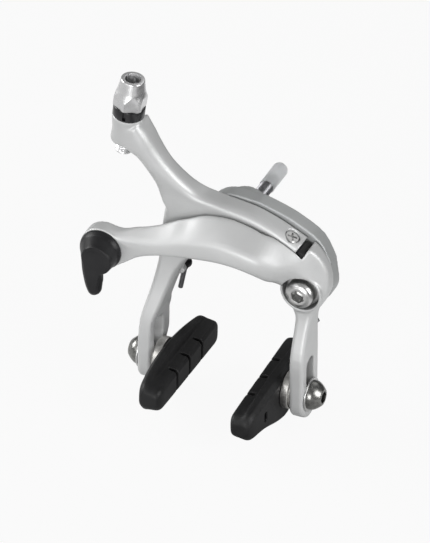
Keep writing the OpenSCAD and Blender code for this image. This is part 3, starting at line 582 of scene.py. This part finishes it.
# adjuster: a turned body with six flats milled on its skirt; the skirt's points are
# (radius, height above the ring), the mouth's are (past the bore, below the top)
adjuster = {"at": (-36.1, -22.5, 42.4), "lean": 6.7, "ringHeight": 4.2, "top": 15.1,
            "tube": 4.2, "edge": 0.4, "stem": 3.0, "stemLength": 15.5, "threadRings": 118,
            "threadStep": 0.125, "pitch": 1.0, "threadDepth": 0.45, "flat": 5.1, "turn": -28,
            "housing": 2.8, "housingDepth": 8, "cable": 1.1,
            "skirt": [(3.0, 0.02), (5.6, 0.02), (7.1, 0.5), (6.9, 0.8), (6.3, 2.4), (5.85, 3.6),
                      (5.45, 4.7), (5.1, 5.7), (4.9, 6.3), (4.78, 6.9), (4.7, 7.6), (4.4, 9.2)],
            "mouth": [(0.15, 0), (0.04, 0.05), (0, 0.18)]}
leanWay = (math.sin(math.radians(adjuster["lean"])), 0, math.cos(math.radians(adjuster["lean"])))
foot, edge, top = -adjuster["stemLength"], adjuster["edge"], adjuster["top"]
tube, bore = adjuster["tube"], adjuster["housing"]
profile = ([(adjuster["cable"], foot), (adjuster["stem"] - edge, foot)]
           + [(adjuster["stem"], foot + edge + adjuster["threadStep"] * i)
              for i in range(adjuster["threadRings"])]
           + [(radius, adjuster["ringHeight"] + height) for radius, height in adjuster["skirt"]]
           + arcOf((tube - edge, top - edge), edge, 0, 90, 5)
           + [(bore + wide, top - deep) for wide, deep in adjuster["mouth"]]
           + [(bore, top - adjuster["housingDepth"]),
              (adjuster["cable"], top - adjuster["housingDepth"] - edge),
              (adjuster["cable"], foot)])
piece = turned("adjusterBarrel", profile, sides=96)
windThread(piece, foot + edge, 0, adjuster["pitch"], adjuster["threadDepth"])
editAll(piece)
for side in range(6):    # mill the flats
    angle = math.radians(adjuster["turn"] + 30 + 60 * side)
    outward = (math.cos(angle), math.sin(angle), 0)
    bpy.ops.mesh.select_all(action="SELECT")
    bpy.ops.mesh.bisect(plane_co=[value * adjuster["flat"] * mm for value in outward],
                        plane_no=outward, use_fill=True, clear_outer=True)
closeMesh()
smoothBy(layDown(piece, adjuster["at"], leanWay), degrees=24)
finishLike(piece, "adjuster_barrel")

# index ring under it, black and notched
ring = {"radius": 5.6, "bore": 3.05, "edge": 0.35, "notch": (1.8, 1.2, 6), "notchHeight": 3.6,
        "notchTurn": -84}
edge, high = ring["edge"], adjuster["ringHeight"]
profile = ([(ring["bore"], 0), (ring["radius"] - edge, 0)]
           + arcOf((ring["radius"] - edge, edge), edge, -90, 0, 3)
           + arcOf((ring["radius"] - edge, high - edge), edge, 0, 90, 3)
           + [(ring["bore"], high), (ring["bore"], 0)])
piece = turned("adjusterRing", profile)
angle = math.radians(ring["notchTurn"])
cutWith(piece, block(ring["notch"], (ring["radius"] * math.cos(angle),
                                     ring["radius"] * math.sin(angle), ring["notchHeight"]),
                     ring["notchTurn"]))
layDown(piece, adjuster["at"], leanWay)
finishLike(smoothBy(piece, degrees=30), "adjuster_ring", "ring")
print("adjuster ready")

# soft cap: a thin closed sleeve with a rounded end
cap = {"start": 13.5, "length": 13.0, "bore": 2.35, "boreEdge": 0.5, "radius": 2.75,
       "edge": 0.1, "round": 1.6, "floor": 1.2}
stop = cap["start"] + cap["length"]
profile = ([(pole, stop - cap["floor"]), (cap["bore"] - cap["boreEdge"], stop - cap["floor"]),
            (cap["bore"], stop - cap["floor"] - cap["boreEdge"]), (cap["bore"], cap["start"]),
            (cap["radius"] - cap["edge"], cap["start"]),
            (cap["radius"], cap["start"] + cap["edge"])]
           + arcOf((cap["radius"] - cap["round"], stop - cap["round"]), cap["round"], 0, 90, 8)
           + [(pole, stop)])
piece = turned("softCap", profile, sides=64)
layDown(piece, (0, 0, 0), (0, 1, 0))
finishLike(smoothBy(piece, degrees=40), "bolt_cap")

# centre bolt: a bearing shoulder in front, and a thread for the fork with a thinner lead
bolt = {"front": -24.6, "radius": 3, "edge": 0.5, "shoulder": (-20.5, -12.25),
        "shoulderRadius": 3.5, "plain": 3.3, "seat": -0.05, "fork": 2.5, "forkEnd": 13.5,
        "lead": 2.25, "leadFrom": 13.7, "leadTo": 18.8, "leadEdge": 0.7, "end": 19.5,
        "thread": (0.6, 19.1), "pitch": 0.8, "depth": 0.3}
profile = ([(pole, bolt["front"]), (bolt["radius"] - bolt["edge"], bolt["front"]),
            (bolt["radius"], bolt["front"] + bolt["edge"]),
            (bolt["radius"], bolt["shoulder"][0]), (bolt["shoulderRadius"], bolt["shoulder"][0]),
            (bolt["shoulderRadius"], bolt["shoulder"][1]), (bolt["plain"], bolt["shoulder"][1]),
            (bolt["plain"], bolt["seat"]), (bolt["fork"], bolt["seat"])]
           + rod(bolt["fork"], 0, bolt["forkEnd"])
           + rod(bolt["lead"], bolt["leadFrom"], bolt["leadTo"])
           + [(bolt["lead"] - bolt["leadEdge"], bolt["end"]), (pole, bolt["end"])])
piece = turned("centreBolt", profile, sides=48)
windThread(piece, *bolt["thread"], bolt["pitch"], bolt["depth"])
layDown(piece, (0, 0, 0), (0, 1, 0))
finishLike(smoothBy(piece, degrees=45), "centre_bolt")

# side bolt: a crowned head with a hexagon socket, deep in its counterbore
sideBolt = {"front": 23.45, "head": 5.2, "headHeight": 4.8, "face": 3.5, "faceEdge": (0.15, 0.1),
            "crown": 2.2, "crownFrom": 62, "socket": 4.4, "socketDepth": 4.2,
            "shoulder": 3.5, "shoulderEnd": 12.25, "thread": 3, "threadEnd": 7.0,
            "tip": 2.6, "tipEnd": 6.55, "turn": 8}
front, crown = sideBolt["front"], sideBolt["crown"]
under = front - sideBolt["headHeight"]
wide, deep = sideBolt["faceEdge"]
profile = ([(pole, front), (sideBolt["face"] - wide, front), (sideBolt["face"], front - deep)]
           + [(sideBolt["head"] - crown + x, front - crown + z)
              for x, z in arcOf((0, 0), crown, sideBolt["crownFrom"], 0, 8)]
           + [(sideBolt["head"], under), (sideBolt["shoulder"], under),
              (sideBolt["shoulder"], sideBolt["shoulderEnd"]),
              (sideBolt["thread"], sideBolt["shoulderEnd"]),
              (sideBolt["thread"], sideBolt["threadEnd"]), (sideBolt["tip"], sideBolt["tipEnd"]),
              (pole, sideBolt["tipEnd"])])
piece = turned("sideBolt", profile)
cutWith(piece, hexBar(sideBolt["socket"], front - sideBolt["socketDepth"], front + past))
roundEdges(piece, width=0.1, degrees=25)
layDown(piece, sideAxis, (0, -1, 0), sideBolt["turn"])
finishLike(piece, "side_bolt")

# shoe bolts: tapered heads with a hexagon socket
shoeBolt = {"leg": 32.2, "head": 5.3, "height": 4.4, "rim": 0.8, "rimEdge": 0.15,
            "rimStep": (0.06, 0.1), "face": 2.9, "faceEdge": 0.1, "curve": 1.6, "curveSteps": 8,
            "socket": 4.0, "socketDepth": 2.6, "thread": 3, "tip": 19.5, "tipEdge": 0.4}
leg, head, face, rim = (shoeBolt[key] for key in ("leg", "head", "face", "rim"))
steps, out = shoeBolt["curveSteps"], leg + shoeBolt["height"]
wide, deep = shoeBolt["rimStep"]
profile = ([(pole, shoeBolt["tip"]), (shoeBolt["thread"] - shoeBolt["tipEdge"], shoeBolt["tip"]),
            (shoeBolt["thread"], shoeBolt["tip"] + shoeBolt["tipEdge"]),
            (shoeBolt["thread"], leg), (head - shoeBolt["rimEdge"], leg),
            (head, leg + shoeBolt["rimEdge"]), (head, leg + rim - deep),
            (head - wide, leg + rim + deep)]
           + [(face + (head - face) * (1 - (i / steps) ** shoeBolt["curve"]),
               leg + rim + (shoeBolt["height"] - rim) * i / steps) for i in range(1, steps)]
           + [(face + shoeBolt["faceEdge"], out - shoeBolt["faceEdge"]),
              (face - shoeBolt["faceEdge"], out), (pole, out)])
piece = turned("rightShoeBolt", profile)
cutWith(piece, hexBar(shoeBolt["socket"], out - shoeBolt["socketDepth"], out + past))
layDown(piece, (0, shoeAxis["y"], shoeAxis["z"]), (1, 0, 0))
finishPair(piece, "ShoeBolt", "shoe_bolt", degrees=28)

# domed and cupped washers, polished, a pair on each shoe bolt
cups = {"leg": 26.2, "back": 22.9, "domeRound": 15, "dome": 6.2, "domeEdge": 0.15, "cup": 6.9,
        "cupEdge": 0.3, "cupFace": (0.2, 0.06), "clear": 0.03, "bore": 3.4, "domeHeight": 2.1,
        "cupHeight": 1.2, "steps": 8}


def domeDrop(radius):
    return cups["domeRound"] - math.sqrt(cups["domeRound"] ** 2 - radius ** 2)


bore, dome, cup, edge = (cups[key] for key in ("bore", "dome", "cup", "cupEdge"))
steps = [i / cups["steps"] for i in range(cups["steps"] + 1)]
profile = ([(bore, 0), (dome - cups["domeEdge"], 0), (dome, cups["domeEdge"])]
           + [(dome + (bore - dome) * s, cups["domeHeight"] - domeDrop(dome + (bore - dome) * s))
              for s in steps] + [(bore, 0)])
piece = turned("rightDomeWasher", profile, sides=64)
layDown(piece, (cups["leg"], shoeAxis["y"], shoeAxis["z"]), (-1, 0, 0))
finishPair(piece, "DomeWasher", "dome_washer", degrees=30, look="washer")
wide, deep = cups["cupFace"]
profile = ([(bore, 0), (cup - edge, 0)] + arcOf((cup - edge, edge), edge, -90, 0, 3)
           + [(cup, cups["cupHeight"] + domeDrop(cup) - edge),
              (cup - wide, cups["cupHeight"] + domeDrop(cup) - deep)]
           + [(cup - wide + (bore - cup + wide) * s,
               cups["cupHeight"] + domeDrop(cup - wide + (bore - cup + wide) * s) - cups["clear"])
              for s in steps] + [(bore, 0)])
piece = turned("rightCupWasher", profile, sides=64)
layDown(piece, (cups["back"], shoeAxis["y"], shoeAxis["z"]), (1, 0, 0))
finishPair(piece, "CupWasher", "cup_washer", degrees=30, look="washer")
print("bolts and washers ready")

# centring screw: a flat head with a cross recess, a threaded shank and a round tip
screw = {"out": 18.4, "depth": -16.6, "tip": 2.3, "radius": 1.6, "top": 14.5, "head": 2.6,
         "headHeight": 1.7, "edge": 0.25, "pitch": 0.7, "threadDepth": 0.25, "slot": 0.7,
         "slotDepth": 0.8, "slotEnds": 1.6, "slotTurns": (25, 115)}
low, high = screw["tip"] + screw["radius"], screw["top"] - screw["headHeight"]
profile = ([(pole, screw["tip"])] + arcOf((0, low), screw["radius"], -80, 0, 6)
           + rod(screw["radius"], low + 0.1, high)
           + [(screw["head"], high), (screw["head"], screw["top"] - screw["edge"]),
              (screw["head"] - screw["edge"], screw["top"]), (pole, screw["top"])])
piece = turned("centringScrew", profile, sides=48)
windThread(piece, low, high, screw["pitch"], screw["threadDepth"])
for turn in screw["slotTurns"]:
    size = (2 * screw["head"] - screw["slotEnds"], screw["slot"], 2 * screw["slotDepth"])
    cutWith(piece, block(size, (0, 0, screw["top"]), turn))
tilt = math.radians(tailTilt)
layDown(piece, (screw["out"] * math.cos(tilt), screw["depth"], -screw["out"] * math.sin(tilt)),
        (math.sin(tilt), 0, math.cos(tilt)))
finishLike(smoothBy(piece), "centring_screw")

# return spring: one round wire through the CAD route's points
spring = {"y": -9.95, "wire": 0.9, "steps": 6,
          "route": [(29.9, -33.4), (27.2, -29), (22.8, -25.1), (15, -19.8), (7.5, -14.9),
                    (5, -14.4), (-5, -14.4), (-7.5, -14.7), (-14, -15.8), (-17.6, -18.8),
                    (-19.8, -22.7), (-22.1, -33.8)]}


def between(a, b, c, d, t):    # a smooth curve from b to c
    return (2 * b + (c - a) * t + (2 * a - 5 * b + 4 * c - d) * t * t
            + (3 * b - a - 3 * c + d) * t ** 3) / 2


route = [Vector(point) for point in spring["route"]]
last = len(route) - 1
path = [between(route[max(0, i - 1)], route[i], route[i + 1], route[min(last, i + 2)],
                j / spring["steps"])
        for i in range(last) for j in range(spring["steps"])] + [route[last]]
wire = bpy.data.curves.new("springWire", "CURVE")
wire.dimensions = "3D"
wire.bevel_depth = spring["wire"] * mm
wire.bevel_resolution = 3
wire.use_fill_caps = True
line = wire.splines.new("POLY")
line.points.add(len(path) - 1)
for point, (x, z) in zip(line.points, path):
    point.co = (x * mm, spring["y"] * mm, z * mm, 1)
piece = bpy.data.objects.new("returnSpring", wire)
bpy.context.scene.collection.objects.link(piece)
pick(piece)
bpy.ops.object.convert(target="MESH")
piece = smoothBy(bpy.context.active_object, degrees=40)
finishLike(piece, "return_spring", rides=False)
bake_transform(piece)    # its place goes into the mesh
print("spring ready")

# floor and backdrop
lowest = min(corner[2] for corner in cadBox)
bpy.ops.mesh.primitive_plane_add(size=studio["floorSize"],
                                 location=(0, 0, lowest - studio["floorBelow"] * mm))
floor = settle(bpy.context.active_object)
floor.name = "studioFloor"


def mathNode(tree, operation):
    node = addNode(tree, "Math")
    node.operation = operation
    return node


# paper that the camera sees white but for a faint shadow, and polished pieces as strips
def paperWhite():
    material = bpy.data.materials.new("studioPaper")
    material.use_nodes = True
    tree = material.node_tree
    tree.nodes.clear()
    out = addNode(tree, "OutputMaterial")
    paper = addNode(tree, "BsdfDiffuse", Color=(studio["paper"],) * 3 + (1,))
    glow = addNode(tree, "Emission")
    mix = addNode(tree, "MixShader")
    path = addNode(tree, "LightPath")
    shown, seen = mathNode(tree, "MAXIMUM"), mathNode(tree, "MAXIMUM")
    share = mathNode(tree, "MULTIPLY")
    share.inputs[1].default_value = studio["glow"]
    place = addNode(tree, "TexCoord")
    mapping = addNode(tree, "Mapping", Rotation=(0, 0, math.radians(-view["azimuth"])))
    split = addNode(tree, "SeparateXYZ")
    across = addNode(tree, "MapRange", From_Min=-studio["stripReach"],
                     From_Max=studio["stripReach"])
    strips = addNode(tree, "ValToRGB")
    strips.color_ramp.elements[1].position = 0
    strips.color_ramp.elements.remove(strips.color_ramp.elements[0])
    for at, value in studio["strips"]:
        stop = strips.color_ramp.elements.new(at) if at else strips.color_ramp.elements[0]
        stop.color = (value, value, value, 1)
    seenAs = addNode(tree, "Mix")
    seenAs.data_type = "RGBA"
    seenAs.inputs[7].default_value = (studio["background"],) * 3 + (1,)
    link(tree, (place.outputs["Object"], mapping.inputs["Vector"]),
         (mapping.outputs["Vector"], split.inputs[0]),
         (split.outputs["X"], across.inputs["Value"]),
         (across.outputs["Result"], strips.inputs["Fac"]),
         (strips.outputs["Color"], seenAs.inputs[6]),
         (path.outputs["Is Camera Ray"], seenAs.inputs[0]),
         (seenAs.outputs[2], glow.inputs["Color"]),
         (path.outputs["Is Camera Ray"], shown.inputs[0]),
         (path.outputs["Is Glossy Ray"], shown.inputs[1]),
         (shown.outputs[0], seen.inputs[0]),
         (path.outputs["Is Transmission Ray"], seen.inputs[1]),
         (seen.outputs[0], share.inputs[0]),
         (share.outputs[0], mix.inputs["Fac"]),
         (paper.outputs[0], mix.inputs[1]),
         (glow.outputs[0], mix.inputs[2]),
         (mix.outputs[0], out.inputs["Surface"]))
    return material


floor.data.materials.append(paperWhite())

# world: a soft dome that is paler above than at the sides, and white to the camera
world = bpy.data.worlds.new("studioDome")
bpy.context.scene.world = world
world.use_nodes = True
tree = world.node_tree
tree.nodes.clear()
out = addNode(tree, "OutputWorld")
back = addNode(tree, "Background")
place = addNode(tree, "TexCoord")
split = addNode(tree, "SeparateXYZ")
dome = addNode(tree, "MapRange", From_Min=studio["skyFrom"], From_Max=studio["skyTo"],
               To_Min=studio["horizon"], To_Max=studio["sky"])
shine = addNode(tree, "MapRange", From_Min=studio["glossFrom"], From_Max=studio["glossTo"],
                To_Min=studio["glossHorizon"], To_Max=studio["glossSky"])
path = addNode(tree, "LightPath")
either = addNode(tree, "Mix")
plain = addNode(tree, "Mix")
plain.inputs[3].default_value = studio["background"]
link(tree, (place.outputs["Generated"], split.inputs[0]),
     (split.outputs["Z"], dome.inputs["Value"]),
     (path.outputs["Is Camera Ray"], plain.inputs[0]),
     (split.outputs["Z"], shine.inputs["Value"]),
     (path.outputs["Is Glossy Ray"], either.inputs[0]),
     (dome.outputs["Result"], either.inputs[2]),
     (shine.outputs["Result"], either.inputs[3]),
     (either.outputs[0], plain.inputs[2]),
     (plain.outputs[0], back.inputs["Color"]),
     (back.outputs[0], out.inputs["Surface"]))


def aim(thing, target):
    thing.rotation_euler = (Vector(target) - thing.location).to_track_quat("-Z", "Y").to_euler()


for name, settings in studio["lamps"].items():
    bpy.ops.object.light_add(type="AREA", location=settings["at"])
    lamp = bpy.context.active_object
    lamp.name = name + "Light"
    lamp.data.shape = "DISK"
    lamp.data.size = settings["size"]
    lamp.data.energy = settings["power"]
    aim(lamp, studio["aim"])

# camera
azimuth, elevation = math.radians(view["azimuth"]), math.radians(view["elevation"])
towards = Vector((math.sin(azimuth) * math.cos(elevation), -math.cos(azimuth) * math.cos(elevation),
                  math.sin(elevation)))
rightWay = Vector((math.cos(azimuth), math.sin(azimuth), 0))
upWay = towards.cross(rightWay)
centre = Vector(view["origin"])
centre += rightWay * (view["imageWidth"] / 2 - view["originAt"][0]) / view["pixelsPerMm"]
centre -= upWay * (view["imageHeight"] / 2 - view["originAt"][1]) / view["pixelsPerMm"]
bpy.ops.object.camera_add(location=centre * mm + towards * view["distance"])
camera = bpy.context.active_object
aim(camera, centre * mm)
camera.rotation_euler.rotate_axis("Z", math.radians(view["roll"]))
camera.data.sensor_width = view["sensor"]
camera.data.lens = (view["pixelsPerMm"] * view["distance"] / mm * view["sensor"]
                    / view["imageHeight"])
camera.data.clip_end = view["clipEnd"]
bpy.context.scene.camera = camera
bpy.context.scene.view_settings.view_transform = "Standard"
print("camera lens", round(camera.data.lens, 1))
